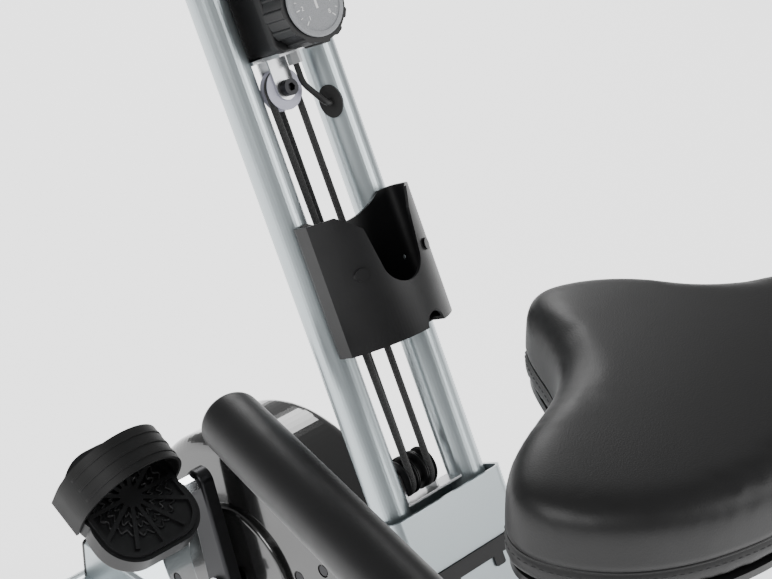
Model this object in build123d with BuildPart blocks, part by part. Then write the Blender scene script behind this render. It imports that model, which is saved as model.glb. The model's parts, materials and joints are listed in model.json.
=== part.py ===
"""Folding pedal and rowing trainer: floor frame, pedal drive, folding twin-tube mast and saddle.

Millimetres, +Z up, +X towards the rider's back, -Y on the rider's left.
The origin is on the floor, under the middle of the footprint.
"""
import os
from math import cos, hypot, radians, sin

from build123d import *

os.makedirs("parts", exist_ok=True)

# ---------------------------------------------------------------- driving dimensions
GAP = 0.3                 # air between pieces that move past each other
RUN = 0.05                # radial play of a running fit

# floor frame
FOOT_X = 440.0            # stabiliser tube, from the middle of the frame
FOOT_Z = 30.0             # stabiliser axis above the floor
FOOT_TUBE_R = 25.0
FOOT_HALF = 240.0
FOOT_CAP_R = 32.0
FOOT_CAP_LENGTH = 32.0
TUBE_WALL = 2.5
BEAM_WIDTH = 60.0
BEAM_HEIGHT = 50.0
BEAM_Z = FOOT_Z + FOOT_TUBE_R + 17.0
BEAM_TOP = BEAM_Z + BEAM_HEIGHT / 2
WHEEL_R = 25.0
WHEEL_WIDTH = 20.0
WHEEL_Z = WHEEL_R + 3.0
WHEEL_X = -(FOOT_X + FOOT_CAP_R - WHEEL_R - 1.0)

# mast and column
LEAN = 27.8               # mast and column lean forward, degrees from upright
MAST_REF_Z = 420.0        # height where the mast crosses the middle of the frame
MAST_R = 16.0
MAST_PITCH = 90.0         # between the two tubes
MAST_LOW = -100.0         # tube ends, measured along the mast
MAST_HIGH = 640.0
COLUMN_WIDTH = 100.0
COLUMN_DEPTH = 52.0
COLUMN_WALL = 3.0
COLUMN_TOP = -108.0
SEAL_HEIGHT = 4.0
SHEET = 3.0
FOOT_BOX_WIDTH = MAST_PITCH + 2 * MAST_R + 2 * SHEET + 4.0
FOOT_BOX_TOP = -50.0
HINGE_N = -37.0           # hinge pin, in front of the mast's centre line
HINGE_PIN_R = 5.0
KNUCKLE_R = 9.0
LOCK_S = -126.0           # clamp screw that holds the mast up
LOCK_R = 4.0

# tension control
KNOB_S = 371.0
KNOB_R = 33.0
KNOB_LENGTH = 24.0
KNOB_RING_R = 28.5
BLOCK_LOW = 342.0
BLOCK_HIGH = 424.0
BLOCK_WIDTH = 54.0
BLOCK_BACK = -10.0
BLOCK_FRONT = 46.0
LIP_DEPTH = 8.0
CABLE_R = 2.5
GROMMET_S = 289.0
FERRULE_N = 24.5           # cable adjuster, below the knob block
BRIDGE_THICK = 3.0

# elastic cord and its pulleys
CORD_R = 3.0
SHEAVE_R = 17.0
SHEAVE_GROOVE_R = 11.0
SHEAVE_WIDTH = 10.0
SHEAVE_PITCH = 11.0
SHEAVE_FIRST_Y = -20.0
SHEAVE_N = -4.0
LOWER_SHEAVE_S = -26.0
TOP_SHEAVE_S = 600.0
UPPER_SHEAVE_R = 17.5
UPPER_GROOVE_R = 10.5
UPPER_SHEAVE_N = 10.0
UPPER_SHEAVE_Y = -12.0
UPPER_SHEAVE_S = 313.0
PULLEY_AXLE_R = 4.0

# bottle holder
HOLDER_LOW = 94.0
HOLDER_HEIGHT = 112.0
HOLDER_WIDTH = 114.0
HOLDER_DEPTH = 54.0
HOLDER_WALL = 3.0
HOLDER_BACK = MAST_R + GAP

# pedal drive
CRANK_X = -165.0
CRANK_Z = 215.0
CRANK_LENGTH = 105.0
CRANK_ANGLE = 107.0       # left arm, degrees from +X towards +Z
CRANK_Y = 64.0            # inner face of an arm
CRANK_THICK = 14.0
AXLE_R = 8.5
BEARING_R = 16.0
SHELL_TUBE_R = 21.0
SHELL_TUBE_HALF = 26.0
PULLEY_R = 68.0
FLYWHEEL_X = CRANK_X + 97.0
FLYWHEEL_Z = 208.0
FLYWHEEL_R = 72.0
FLYWHEEL_Y = -34.0
FLYWHEEL_WIDTH = 20.0
SMALL_PULLEY_R = 18.0
SHAFT_R = 6.0
BELT_Y = 29.0
BELT_WIDTH = 10.0
BELT_THICK = 2.5
HOUSING_R = 138.0
HOUSING_LOBE_R = 98.0
HOUSING_HALF = 50.0
HOUSING_WALL = 3.0
DISC_R = 72.0
PEDAL_LENGTH = 118.0
PEDAL_SHIFT = -13.0      # middle of the pedal, ahead of its spindle
PEDAL_WIDTH = 104.0
PEDAL_THICK = 20.0
TREAD_RISE = 3.0
TREAD_RIM = 4.0           # rim width, and its distance from the pedal's edge
HEEL_RADIUS = 34.0
TOE_RADIUS = 46.0
PEDAL_GAP = 14.0
PEDAL_TILT = 28.0
SPINDLE_R = 6.5
STRAP_WIDTH = 38.0
STRAP_THICK = 2.5
STRAP_RISE = 56.0
STRAP_X = -31.0          # middle of the strap, towards the toe

# saddle and its post
POST_X = 300.0
POST_OUTER_R = 27.0
POST_BUSH_R = 24.5
POST_INNER_R = 22.5
POST_OUTER_TOP = 420.0
POST_INNER_LOW = 250.0
SADDLE_Z = 566.0          # underside of the cushion
SADDLE_HEIGHT = 72.0
SADDLE_NOSE_X = 137.0
SADDLE_LENGTH = 293.0
SADDLE_HALF_NOSE = 60.0
SADDLE_HALF_WIDE = 224.0
PAN_THICK = 6.0
GRIP_R = 26.0
GRIP_LENGTH = 300.0
SIDE_BAR_R = 14.0
SIDE_BAR_Z = 500.0
SIDE_BAR_X = 352.0
SOCKET_HALF = 22.0

# ---------------------------------------------------------------- helpers
mast = Plane(
    origin=(0, 0, MAST_REF_Z),
    x_dir=(cos(radians(LEAN)), 0, sin(radians(LEAN))),
    z_dir=(-sin(radians(LEAN)), 0, cos(radians(LEAN))),
)


def at(n, y, s):
    """World point from the mast's own directions: n to the rear, y to the right, s upwards."""
    return mast.from_local_coords(Vector(n, y, s))


def section(s, n=0.0, y=0.0):
    """Plane across the mast at height s; its x is n and its y is y."""
    return Plane(origin=at(n, y, s), x_dir=mast.x_dir, z_dir=mast.z_dir)


def facing(n, y=0.0, s=0.0):
    """Plane that faces the rider at n; its x is y and its y is s."""
    return Plane(origin=at(n, y, s), x_dir=(0, 1, 0), z_dir=mast.x_dir)


def along(y, n=0.0, s=0.0):
    """Plane parallel to the mast's side at y, facing left; its x is n and its y is s."""
    return Plane(origin=at(n, y, s), x_dir=mast.x_dir, z_dir=(0, -1, 0))


def side(y, x=0.0, z=0.0):
    """Upright plane at y, facing left; its x is X and its y is Z."""
    return Plane(origin=(x, y, z), x_dir=(1, 0, 0), z_dir=(0, -1, 0))


def save(piece, name):
    piece.part.label = name
    export_step(piece.part, f"parts/{name}.step")


def sheave(plane, radius, groove_r, width, bore):
    """Grooved wheel centred on plane, turning about the plane's normal."""
    half_groove = CORD_R + 0.6
    with BuildPart() as wheel:
        with BuildSketch(plane.offset(-width / 2)):
            Circle(radius)
            Circle(bore, mode=Mode.SUBTRACT)
        extrude(amount=width)
        rim = Plane(origin=plane.origin, x_dir=plane.x_dir, z_dir=-plane.y_dir)
        with BuildSketch(rim):
            with BuildLine():
                Polyline(
                    (groove_r, -half_groove), (groove_r, half_groove), (radius - 2, half_groove),
                    (radius, half_groove + 0.6), (radius + 1, half_groove + 0.6),
                    (radius + 1, -half_groove - 0.6), (radius, -half_groove - 0.6),
                    (radius - 2, -half_groove), close=True,
                )
            make_face()
        revolve(axis=Axis(plane.origin, plane.z_dir), mode=Mode.SUBTRACT)
    return wheel


def swept_tube(points, radii, outer, inner=0.0):
    """Round bar or tube along straight runs joined by tangent arcs."""
    with BuildPart() as tube:
        with BuildLine() as route:
            FilletPolyline(*points, radius=radii)
        with BuildSketch(Plane(origin=route.line @ 0, z_dir=route.line % 0)):
            Circle(outer)
            if inner:
                Circle(inner, mode=Mode.SUBTRACT)
        sweep(path=route.line)
    return tube


# ---------------------------------------------------------------- floor frame
with BuildPart() as base_beam:
    with BuildSketch(Plane.YZ.offset(-FOOT_X)):
        with Locations((0, BEAM_Z)):
            RectangleRounded(BEAM_WIDTH, BEAM_HEIGHT, 5)
            RectangleRounded(BEAM_WIDTH - 2 * TUBE_WALL, BEAM_HEIGHT - 2 * TUBE_WALL, 3, mode=Mode.SUBTRACT)
    extrude(amount=2 * FOOT_X)
    with BuildSketch(side(-BEAM_WIDTH)):
        with Locations((-FOOT_X, FOOT_Z), (FOOT_X, FOOT_Z)):
            Circle(FOOT_TUBE_R)
    extrude(amount=-2 * BEAM_WIDTH, mode=Mode.SUBTRACT)
save(base_beam, "base_beam")

foot_ends = [(-FOOT_X, FOOT_Z), (FOOT_X, FOOT_Z)]
with BuildPart() as stabilisers:
    with BuildSketch(side(-FOOT_HALF)):
        with Locations(*foot_ends):
            Circle(FOOT_TUBE_R)
            Circle(FOOT_TUBE_R - TUBE_WALL, mode=Mode.SUBTRACT)
    extrude(amount=-2 * FOOT_HALF)
save(stabilisers, "stabilisers")

CAP_END = FOOT_HALF + 6.0
WHEEL_INNER_Y = CAP_END + 4.0
with BuildPart() as end_caps:
    for hand in (-1, 1):
        with BuildSketch(side(hand * CAP_END)):
            with Locations(*foot_ends):
                Circle(FOOT_CAP_R)
        extrude(amount=hand * FOOT_CAP_LENGTH)
        with BuildSketch(side(hand * FOOT_HALF)):
            with Locations(*foot_ends):
                Circle(FOOT_TUBE_R)
        extrude(amount=hand * FOOT_CAP_LENGTH, mode=Mode.SUBTRACT)
    for end in (-1, 1):
        with BuildSketch(Plane.YZ.offset(end * FOOT_X)):
            with Locations((0, BEAM_Z)):
                RectangleRounded(BEAM_WIDTH, BEAM_HEIGHT, 5)
        extrude(amount=end * 4.0)
    with BuildSketch(side(-BEAM_WIDTH)):
        with Locations(*foot_ends):
            Circle(FOOT_TUBE_R)
    extrude(amount=-2 * BEAM_WIDTH, mode=Mode.SUBTRACT)
    # wheel studs with retaining heads
    for hand in (-1, 1):
        with BuildSketch(side(hand * CAP_END, WHEEL_X, WHEEL_Z)):
            Circle(PULLEY_AXLE_R)
        extrude(amount=-hand * (WHEEL_WIDTH + 4.0 + GAP))
        with BuildSketch(side(hand * (WHEEL_INNER_Y + WHEEL_WIDTH + GAP), WHEEL_X, WHEEL_Z)):
            Circle(8)
        extrude(amount=-hand * 5)
    split(bisect_by=Plane.XY, keep=Keep.TOP)
save(end_caps, "end_caps")

for name, hand in (("left", -1), ("right", 1)):
    with BuildPart() as wheel:
        with BuildSketch(side(hand * WHEEL_INNER_Y, WHEEL_X, WHEEL_Z)):
            Circle(WHEEL_R)
            Circle(PULLEY_AXLE_R + RUN, mode=Mode.SUBTRACT)
        extrude(amount=-hand * WHEEL_WIDTH)
        fillet(wheel.edges().filter_by(GeomType.CIRCLE).sort_by(SortBy.RADIUS)[-2:], 3)
    save(wheel, f"wheel_{name}")

# ---------------------------------------------------------------- column and fold hinge
LOCK_ARC_R = hypot(-HINGE_N, LOCK_S - COLUMN_TOP - 2.0)
HINGE_S = COLUMN_TOP + 2.0
with BuildPart() as column:
    with BuildSketch(section(COLUMN_TOP)):
        RectangleRounded(COLUMN_DEPTH, COLUMN_WIDTH, 6)
        offset(amount=-COLUMN_WALL, mode=Mode.SUBTRACT)
    extrude(amount=-400)
    split(bisect_by=Plane.XY.offset(BEAM_TOP), keep=Keep.TOP)
    for hand in (-1, 1):
        with BuildSketch(along(hand * 45)):
            with Locations((HINGE_N, HINGE_S)):
                Circle(KNUCKLE_R)
            with Locations(((HINGE_N - COLUMN_DEPTH / 2) / 2, HINGE_S - 14)):
                Rectangle(-HINGE_N - COLUMN_DEPTH / 2 + 1, 18)
            with Locations((HINGE_N, HINGE_S)):
                Circle(HINGE_PIN_R, mode=Mode.SUBTRACT)
        extrude(amount=hand * 22)
    # open slot that the clamp screw leaves through as the mast folds
    with BuildSketch(along(COLUMN_WIDTH / 2 + 1)):
        with Locations((HINGE_N, HINGE_S)):
            Circle(LOCK_ARC_R + LOCK_R + 1)
            Circle(LOCK_ARC_R - LOCK_R - 1, mode=Mode.SUBTRACT)
        with Locations((25 - LOCK_R - 1, LOCK_S + 15)):
            Rectangle(50, 50, mode=Mode.INTERSECT)
    extrude(amount=COLUMN_WALL + 4, mode=Mode.SUBTRACT)
save(column, "column")

with BuildPart() as column_seal:
    with BuildSketch(section(COLUMN_TOP, n=COLUMN_DEPTH / 2 - 2)):
        Rectangle(7, COLUMN_WIDTH - 8)
    extrude(amount=SEAL_HEIGHT - GAP)
    with BuildSketch(facing(COLUMN_DEPTH / 2)):
        with Locations((0, COLUMN_TOP - 3)):
            Rectangle(COLUMN_WIDTH - 16, 13)
        with Locations((-26, COLUMN_TOP - 13), (26, COLUMN_TOP - 13)):
            RectangleRounded(11, 12, 2)
    extrude(amount=2.2)
save(column_seal, "column_seal")

with BuildPart() as hinge_pin:
    with BuildSketch(along(-48, HINGE_N, HINGE_S)):
        Circle(HINGE_PIN_R)
    extrude(amount=-96)
    with BuildSketch(along(-48, HINGE_N, HINGE_S)):
        Circle(HINGE_PIN_R + 2.5)
    extrude(amount=3)
save(hinge_pin, "hinge_pin")

# ---------------------------------------------------------------- mast
with BuildPart() as mast_foot_box:
    with BuildSketch(section(COLUMN_TOP + SEAL_HEIGHT)):
        RectangleRounded(COLUMN_DEPTH, FOOT_BOX_WIDTH, 10)
    extrude(amount=FOOT_BOX_TOP - COLUMN_TOP - SEAL_HEIGHT)
    with BuildSketch(section(MAST_LOW)):
        RectangleRounded(COLUMN_DEPTH - 2 * SHEET, FOOT_BOX_WIDTH - 2 * SHEET, 7)
    extrude(amount=FOOT_BOX_TOP - MAST_LOW + 1, mode=Mode.SUBTRACT)
    with BuildSketch(along(-22 + GAP)):
        with Locations((HINGE_N, HINGE_S)):
            Circle(KNUCKLE_R)
        with Locations(((HINGE_N - COLUMN_DEPTH / 2) / 2, HINGE_S + 12)):
            Rectangle(-HINGE_N - COLUMN_DEPTH / 2 + 1, 20)
        with Locations((HINGE_N, HINGE_S)):
            Circle(HINGE_PIN_R + RUN, mode=Mode.SUBTRACT)
    extrude(amount=-(44 - 2 * GAP))
    # tab beside the column, for the clamp screw
    with BuildSketch(along(COLUMN_WIDTH / 2 + 1)):
        with Locations((0, (LOCK_S - 11 + MAST_LOW) / 2)):
            RectangleRounded(26, MAST_LOW - LOCK_S + 11, 4)
        with Locations((0, LOCK_S)):
            Circle(LOCK_R + RUN, mode=Mode.SUBTRACT)
    extrude(amount=-4)
save(mast_foot_box, "mast_foot_box")

with BuildPart() as fold_lock_knob:
    with BuildSketch(along(COLUMN_WIDTH / 2 - COLUMN_WALL - 5, 0, LOCK_S)):
        Circle(LOCK_R)
    extrude(amount=-(COLUMN_WALL + 5 + 5 + 3))
    with BuildSketch(along(COLUMN_WIDTH / 2 + 5 + GAP, 0, LOCK_S)):
        Circle(15)
        with PolarLocations(15, 6):
            Circle(5)
    extrude(amount=-16)
save(fold_lock_knob, "fold_lock_knob")

GROMMET_ANGLE = 50.0      # round the tube, from the rear towards the other tube
grommet_n = MAST_R * cos(radians(GROMMET_ANGLE))
grommet_y = MAST_PITCH / 2 - MAST_R * sin(radians(GROMMET_ANGLE))
grommet_dir = at(cos(radians(GROMMET_ANGLE)), -sin(radians(GROMMET_ANGLE)), 0) - at(0, 0, 0)
grommet_plane = Plane(origin=at(grommet_n, grommet_y, GROMMET_S), x_dir=mast.z_dir, z_dir=grommet_dir)
with BuildPart() as mast_tubes:
    with BuildSketch(section(MAST_LOW)):
        with Locations((0, -MAST_PITCH / 2), (0, MAST_PITCH / 2)):
            Circle(MAST_R)
            Circle(MAST_R - 2, mode=Mode.SUBTRACT)
    extrude(amount=MAST_HIGH - MAST_LOW)
    with BuildSketch(grommet_plane.offset(-5)):
        Ellipse(11, 7)
    extrude(amount=10, mode=Mode.SUBTRACT)
save(mast_tubes, "mast_tubes")

with BuildPart() as cable_grommet:
    with BuildSketch(grommet_plane.offset(-4)):
        Ellipse(14, 9.5)
    extrude(amount=7)
    with BuildSketch(section(GROMMET_S - 30, 0, MAST_PITCH / 2)):
        Circle(MAST_R + 0.02)
    extrude(amount=60, mode=Mode.SUBTRACT)
    with BuildSketch(grommet_plane.offset(-3)):
        Ellipse(10.9, 6.9)
    extrude(amount=5)
    with BuildSketch(grommet_plane.offset(-4)):
        Circle(CABLE_R)
    extrude(amount=12, mode=Mode.SUBTRACT)
save(cable_grommet, "cable_grommet")

# ---------------------------------------------------------------- tension control
mast_gap = MAST_PITCH - 2 * MAST_R


def between_tubes(low, height, back, front):
    """Cross plate that is welded to the inner sides of both mast tubes."""
    with BuildPart() as plate:
        with BuildSketch(section(low, (back + front) / 2)):
            Rectangle(front - back, mast_gap + 8)
        extrude(amount=height)
        with BuildSketch(section(low - 1)):
            with Locations((0, -MAST_PITCH / 2), (0, MAST_PITCH / 2)):
                Circle(MAST_R)
        extrude(amount=height + 2, mode=Mode.SUBTRACT)
    return plate.part


with BuildPart() as knob_block:
    with BuildSketch(facing(BLOCK_BACK, 0, (BLOCK_LOW + BLOCK_HIGH) / 2)):
        RectangleRounded(BLOCK_WIDTH, BLOCK_HIGH - BLOCK_LOW, 6)
    extrude(amount=BLOCK_FRONT - BLOCK_BACK)
    with BuildSketch(facing(BLOCK_FRONT - LIP_DEPTH, 0, (BLOCK_LOW + BLOCK_HIGH) / 2)):
        RectangleRounded(BLOCK_WIDTH + 6, BLOCK_HIGH - BLOCK_LOW + 2, 9)
    extrude(amount=LIP_DEPTH)
    fillet(knob_block.faces().sort_by(Axis((0, 0, 0), mast.x_dir))[-1].outer_wire().edges(), 2)
    with BuildSketch(facing(BLOCK_FRONT - 6, 0, KNOB_S)):
        Circle(PULLEY_AXLE_R + RUN)
    extrude(amount=8, mode=Mode.SUBTRACT)
    with BuildSketch(section(BLOCK_LOW - 1, FERRULE_N)):
        Circle(CABLE_R + 1)
    extrude(amount=8, mode=Mode.SUBTRACT)
save(knob_block, "knob_block")

KNOB_BACK = BLOCK_FRONT + 1.0
with BuildPart() as tension_knob:
    with BuildSketch(facing(KNOB_BACK, 0, KNOB_S)):
        Circle(KNOB_R - 1.5)
        with PolarLocations(KNOB_R - 2.5, 12):
            RectangleRounded(5, 9, 2)
    extrude(amount=KNOB_LENGTH)
    with BuildSketch(facing(BLOCK_FRONT - 5, 0, KNOB_S)):
        Circle(PULLEY_AXLE_R)
    extrude(amount=7)
save(tension_knob, "tension_knob")

with BuildPart() as knob_face:
    with BuildSketch(facing(KNOB_BACK + KNOB_LENGTH, 0, KNOB_S)):
        Circle(KNOB_RING_R - 1)
    extrude(amount=4)
    fillet(knob_face.edges().filter_by(GeomType.CIRCLE).group_by(SortBy.RADIUS)[-1], 1.2)
    with BuildSketch(facing(KNOB_BACK + KNOB_LENGTH + 3, 0, KNOB_S)):
        Circle(KNOB_RING_R - 5)
    extrude(amount=2, mode=Mode.SUBTRACT)
save(knob_face, "knob_face")

# brake cable from under the block to the right tube
with BuildPart() as cable_ferrule:
    with BuildSketch(section(BLOCK_LOW - BRIDGE_THICK - 10, FERRULE_N)):
        RegularPolygon(6, 6)
        Circle(CABLE_R, mode=Mode.SUBTRACT)
    extrude(amount=10 - 0.02)
save(cable_ferrule, "cable_ferrule")

with BuildPart() as tension_cable:
    with BuildLine() as cable_route:
        FilletPolyline(
            at(FERRULE_N, 0, BLOCK_LOW - BRIDGE_THICK - 0.5),
            at(FERRULE_N, 0, GROMMET_S + 23),
            grommet_plane.origin + grommet_plane.z_dir * 18,
            grommet_plane.origin - grommet_plane.z_dir * 2,
            radius=[16, 13],
        )
    with BuildSketch(Plane(origin=cable_route.line @ 0, z_dir=cable_route.line % 0)):
        Circle(CABLE_R)
    sweep(path=cable_route.line)
save(tension_cable, "tension_cable")

# ---------------------------------------------------------------- elastic cord and pulleys
upper_plane = facing(UPPER_SHEAVE_N, UPPER_SHEAVE_Y, UPPER_SHEAVE_S)
upper_sheave = sheave(upper_plane, UPPER_SHEAVE_R, UPPER_GROOVE_R, SHEAVE_WIDTH, PULLEY_AXLE_R + RUN)
save(upper_sheave, "upper_pulley")

FORK_THICK = 2.0
fork_gap = SHEAVE_WIDTH / 2 + 0.5
FORK_WIDTH = 19.0
bridge_low = BLOCK_LOW - BRIDGE_THICK
PLATE_FRONT = BLOCK_FRONT - LIP_DEPTH - 1
fork_reach = bridge_low - UPPER_SHEAVE_S
knob_plate = between_tubes(bridge_low, BRIDGE_THICK, -12, 14)
with BuildPart() as knob_bracket:
    add(knob_plate)
    with BuildSketch(section(bridge_low, (UPPER_SHEAVE_N + PLATE_FRONT) / 2)):
        Rectangle(PLATE_FRONT - UPPER_SHEAVE_N, 46)
    extrude(amount=BRIDGE_THICK)
    for face_n in (UPPER_SHEAVE_N - fork_gap - FORK_THICK, UPPER_SHEAVE_N + fork_gap):
        with BuildSketch(facing(face_n, UPPER_SHEAVE_Y, UPPER_SHEAVE_S)):
            Circle(FORK_WIDTH / 2)
            with Locations((0, (fork_reach + 0.5) / 2)):
                Rectangle(FORK_WIDTH, fork_reach + 0.5)
            Circle(PULLEY_AXLE_R, mode=Mode.SUBTRACT)
        extrude(amount=FORK_THICK)
save(knob_bracket, "knob_bracket")

with BuildPart() as upper_screw:
    with BuildSketch(facing(UPPER_SHEAVE_N - fork_gap - FORK_THICK - 3, UPPER_SHEAVE_Y, UPPER_SHEAVE_S)):
        Circle(PULLEY_AXLE_R)
    extrude(amount=2 * (fork_gap + FORK_THICK) + 3)
    with BuildSketch(facing(UPPER_SHEAVE_N + fork_gap + FORK_THICK, UPPER_SHEAVE_Y, UPPER_SHEAVE_S)):
        Circle(6.8)
    extrude(amount=7)
    with BuildSketch(facing(UPPER_SHEAVE_N + fork_gap + FORK_THICK + 3, UPPER_SHEAVE_Y, UPPER_SHEAVE_S)):
        RegularPolygon(3.6, 6)
    extrude(amount=5, mode=Mode.SUBTRACT)
save(upper_screw, "upper_pulley_screw")

sheave_ys = [SHEAVE_FIRST_Y + SHEAVE_PITCH * index for index in range(3)]
left_y = sheave_ys[0]
right_y = sheave_ys[2]
for index, sheave_y in enumerate(sheave_ys):
    wheel = sheave(along(sheave_y, SHEAVE_N, LOWER_SHEAVE_S), SHEAVE_R, SHEAVE_GROOVE_R,
                   SHEAVE_WIDTH, PULLEY_AXLE_R + RUN)
    save(wheel, f"lower_pulley_{index + 1}")

CHEEK_LEFT = left_y - SHEAVE_WIDTH / 2 - 0.5
CHEEK_RIGHT = right_y + SHEAVE_WIDTH / 2 + 0.5
PLATE_DROP = SHEAVE_R + 5.0
CHEEK_THICK = 2.0


def pulley_cheeks(axis_s):
    """Cross plate between the tubes with two cheeks that carry a cross axle."""
    plate = between_tubes(axis_s - PLATE_DROP, CHEEK_THICK, -12, 9)
    with BuildPart() as bracket:
        add(plate)
        for inner_y, outward in ((CHEEK_LEFT, 1), (CHEEK_RIGHT, -1)):
            with BuildSketch(along(inner_y, SHEAVE_N, axis_s)):
                with Locations((0, -PLATE_DROP / 2)):
                    Rectangle(16, PLATE_DROP)
                Circle(8)
                Circle(PULLEY_AXLE_R, mode=Mode.SUBTRACT)
            extrude(amount=outward * CHEEK_THICK)
    return bracket


save(pulley_cheeks(LOWER_SHEAVE_S), "lower_pulley_bracket")

with BuildPart() as pulley_axles:
    for axis_s in (LOWER_SHEAVE_S, TOP_SHEAVE_S):
        with BuildSketch(along(CHEEK_LEFT - CHEEK_THICK, SHEAVE_N, axis_s)):
            Circle(PULLEY_AXLE_R)
        extrude(amount=-(CHEEK_RIGHT - CHEEK_LEFT + 2 * CHEEK_THICK))
        with BuildSketch(along(CHEEK_RIGHT + CHEEK_THICK, SHEAVE_N, axis_s)):
            RegularPolygon(6.5, 6)
        extrude(amount=-4)
save(pulley_axles, "pulley_axles")

# one wide roller turns both ends of the cord towards the rider
roller_plane = along((left_y + right_y) / 2, SHEAVE_N, TOP_SHEAVE_S)
roller_length = CHEEK_RIGHT - CHEEK_LEFT - 1.0
with BuildPart() as top_roller:
    with BuildSketch(roller_plane.offset(-roller_length / 2)):
        Circle(SHEAVE_GROOVE_R)
        Circle(PULLEY_AXLE_R + RUN, mode=Mode.SUBTRACT)
    extrude(amount=roller_length)
save(top_roller, "top_roller")

cord_wrap = SHEAVE_GROOVE_R + CORD_R + GAP
cord_back = SHEAVE_N - cord_wrap
cord_front = SHEAVE_N + cord_wrap
upper_wrap = UPPER_GROOVE_R + CORD_R + GAP
cord_low = LOWER_SHEAVE_S - cord_wrap
cord_turn = UPPER_SHEAVE_S + upper_wrap
cord_top = TOP_SHEAVE_S + cord_wrap
GUIDE_N = MAST_R
STOP_N = GUIDE_N + 3.0 + 9.0
cord_points = [
    at(STOP_N, left_y, cord_top),
    at(cord_back, left_y, cord_top),
    at(cord_back, left_y, cord_low),
    at(cord_front, left_y, cord_low),
    at(cord_front, UPPER_SHEAVE_Y - upper_wrap, cord_turn),
    at(cord_front, UPPER_SHEAVE_Y + upper_wrap, cord_turn),
    at(cord_front, right_y, cord_low),
    at(cord_back, right_y, cord_low),
    at(cord_back, right_y, cord_top),
    at(STOP_N, right_y, cord_top),
]
low_turns = 2 * [cord_wrap - 0.1]
cord_radii = [cord_wrap] + low_turns + 2 * [upper_wrap - 0.2] + low_turns + [cord_wrap]
elastic_cord = swept_tube(cord_points, cord_radii, CORD_R)
save(elastic_cord, "elastic_cord")

top_cheeks = pulley_cheeks(TOP_SHEAVE_S).part
with BuildPart() as top_roller_bracket:
    add(top_cheeks)
    # plate on the rear of the tubes that the cord's ends pass through
    with BuildSketch(facing(GUIDE_N, 0, cord_top)):
        RectangleRounded(MAST_PITCH + 16, 20, 4)
        with Locations((left_y, 0), (right_y, 0)):
            Circle(CORD_R + 0.6, mode=Mode.SUBTRACT)
    extrude(amount=3)
save(top_roller_bracket, "top_roller_bracket")

with BuildPart() as cord_stops:
    with Locations(at(STOP_N, left_y, cord_top), at(STOP_N, right_y, cord_top)):
        Sphere(9)
    with BuildSketch(facing(STOP_N - 12, left_y, cord_top)):
        Circle(CORD_R)
        with Locations((right_y - left_y, 0)):
            Circle(CORD_R)
    extrude(amount=12, mode=Mode.SUBTRACT)
save(cord_stops, "cord_stops")

# ---------------------------------------------------------------- bottle holder


def holder_outline(inset, s):
    """Flat back, rounded sides and a front that bulges towards the rider; x is n, y is y."""
    half = HOLDER_WIDTH / 2 - inset
    back = HOLDER_BACK + inset
    shoulder = HOLDER_BACK + 22
    front = HOLDER_BACK + HOLDER_DEPTH - inset
    with BuildSketch(section(s)) as outline:
        with BuildLine():
            Line((back, -half + 8), (back, half - 8))
            ThreePointArc((back, half - 8), (back + 2.4, half - 2.4), (back + 8, half))
            Line((back + 8, half), (shoulder, half))
            ThreePointArc((shoulder, half), (front, 0), (shoulder, -half))
            Line((shoulder, -half), (back + 8, -half))
            ThreePointArc((back + 8, -half), (back + 2.4, -half + 2.4), (back, -half + 8))
        make_face()
    return outline.sketch


HOLDER_TOP = HOLDER_LOW + HOLDER_HEIGHT
holder_outer = holder_outline(0, HOLDER_LOW)
holder_inner = holder_outline(HOLDER_WALL, HOLDER_LOW + HOLDER_WALL)
holder_grown = holder_outline(-2, HOLDER_LOW)
with BuildPart() as bottle_holder:
    extrude(holder_outer, amount=HOLDER_HEIGHT)
    extrude(holder_inner, amount=HOLDER_HEIGHT, mode=Mode.SUBTRACT)
    # deep rounded notch in the front wall, and a shallow dip in the back wall
    with BuildSketch(facing(HOLDER_BACK + HOLDER_WALL + 5)):
        with BuildLine():
            Polyline((-19, HOLDER_LOW + 62), (-24, HOLDER_TOP - 16), (-42, HOLDER_TOP + 1))
            Line((-42, HOLDER_TOP + 1), (40, HOLDER_TOP + 1))
            Polyline((40, HOLDER_TOP + 1), (30, HOLDER_TOP - 16), (23, HOLDER_LOW + 62))
            ThreePointArc((23, HOLDER_LOW + 62), (2, HOLDER_LOW + 43), (-19, HOLDER_LOW + 62))
        make_face()
    extrude(amount=HOLDER_DEPTH, mode=Mode.SUBTRACT)
    with BuildSketch(facing(HOLDER_BACK - 1)):
        with Locations((0, HOLDER_TOP + 62)):
            Circle(74)
    extrude(amount=HOLDER_WALL + 6, mode=Mode.SUBTRACT)
    # drain notch at the bottom of the front wall
    with BuildSketch(facing(HOLDER_BACK + 34)):
        with Locations((14, HOLDER_LOW)):
            Circle(11)
    extrude(amount=HOLDER_DEPTH, mode=Mode.SUBTRACT)
    for hole_y in (-MAST_PITCH / 2, MAST_PITCH / 2):
        with BuildSketch(facing(HOLDER_BACK - 1, hole_y, HOLDER_LOW + 52)):
            Circle(2.6)
        extrude(amount=HOLDER_WALL + 2, mode=Mode.SUBTRACT)
save(bottle_holder, "bottle_holder")

with BuildPart() as holder_plugs:
    for plug_y in (-37, 37):
        with BuildSketch(facing(HOLDER_BACK + 38, plug_y, HOLDER_LOW + 62)):
            Circle(5)
        extrude(amount=16)
    extrude(holder_outer, amount=HOLDER_HEIGHT, mode=Mode.SUBTRACT)
    extrude(holder_grown, amount=HOLDER_HEIGHT, mode=Mode.INTERSECT)
save(holder_plugs, "holder_plugs")

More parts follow.
